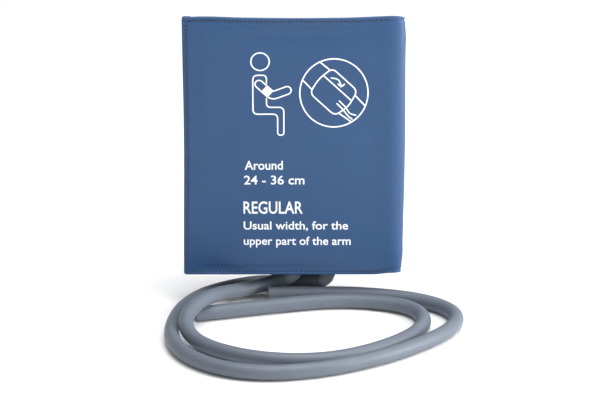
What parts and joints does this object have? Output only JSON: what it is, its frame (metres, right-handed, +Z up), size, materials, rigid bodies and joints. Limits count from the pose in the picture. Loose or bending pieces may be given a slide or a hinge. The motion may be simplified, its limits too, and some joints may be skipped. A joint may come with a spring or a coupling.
{
  "type": "blood pressure cuff",
  "caption": "Wrap-round arm cuff of smooth blue sheet with bladder and hook and loop closure, folded flat, with bare air hoses looped in front.",
  "frame": {"origin": "middle of the folded pack, with the hoses left out", "axes": "+Z up along the strip's width, +X right along the strip's length, +Y from the printed front face to the back"},
  "size_m": [0.1594, 0.1308, 0.1627],
  "materials": {
    "outer_sheet": "smooth blue leatherette, slight sheen",
    "inner_sheet": "fine woven lining, matte",
    "interlining": "felted, matte",
    "hook": "hook tape",
    "loop": "brushed loop pile",
    "bladder_rubber": "satin",
    "relief_rubber": "satin",
    "hose": "satin, slightly dusty"
  },
  "bodies": {
    "bladder_panel": {"bladder_panel_outer_cover": "outer_sheet", "bladder_panel_lining": "inner_sheet", "bladder_front_half": "bladder_rubber", "bladder_port_1": "bladder_rubber", "bladder_port_2": "bladder_rubber", "strain_relief_1": "relief_rubber", "strain_relief_2": "relief_rubber", "hose_1": "hose", "hose_2": "hose"},
    "strap": {"strap_outer_cover": "outer_sheet", "strap_interlining": "interlining", "strap_lining": "inner_sheet"},
    "strap_end": {"strap_end_outer_cover": "outer_sheet", "strap_end_interlining": "interlining", "strap_end_lining": "inner_sheet", "hook_patch": "hook"},
    "bladder_end": {"bladder_end_outer_cover": "outer_sheet", "bladder_end_lining": "inner_sheet", "bladder_rear_half": "bladder_rubber", "loop_patch": "loop"}
  },
  "joints": [
    {"name": "strap_fold", "type": "hinge", "parent": "bladder_panel", "child": "strap", "pos_m": [-0.0588, -0.00205, 0], "axis": [0, 0, -1], "range_deg": [0, 180]},
    {"name": "strap_end_fold", "type": "hinge", "parent": "strap", "child": "strap_end", "pos_m": [0.0588, -0.00565, 0], "axis": [0, 0, 1], "range_deg": [0, 180]},
    {"name": "bladder_end_fold", "type": "hinge", "parent": "bladder_panel", "child": "bladder_end", "pos_m": [0.0588, 0.00445, 0], "axis": [0, 0, -1], "range_deg": [0, 180]}
  ]
}
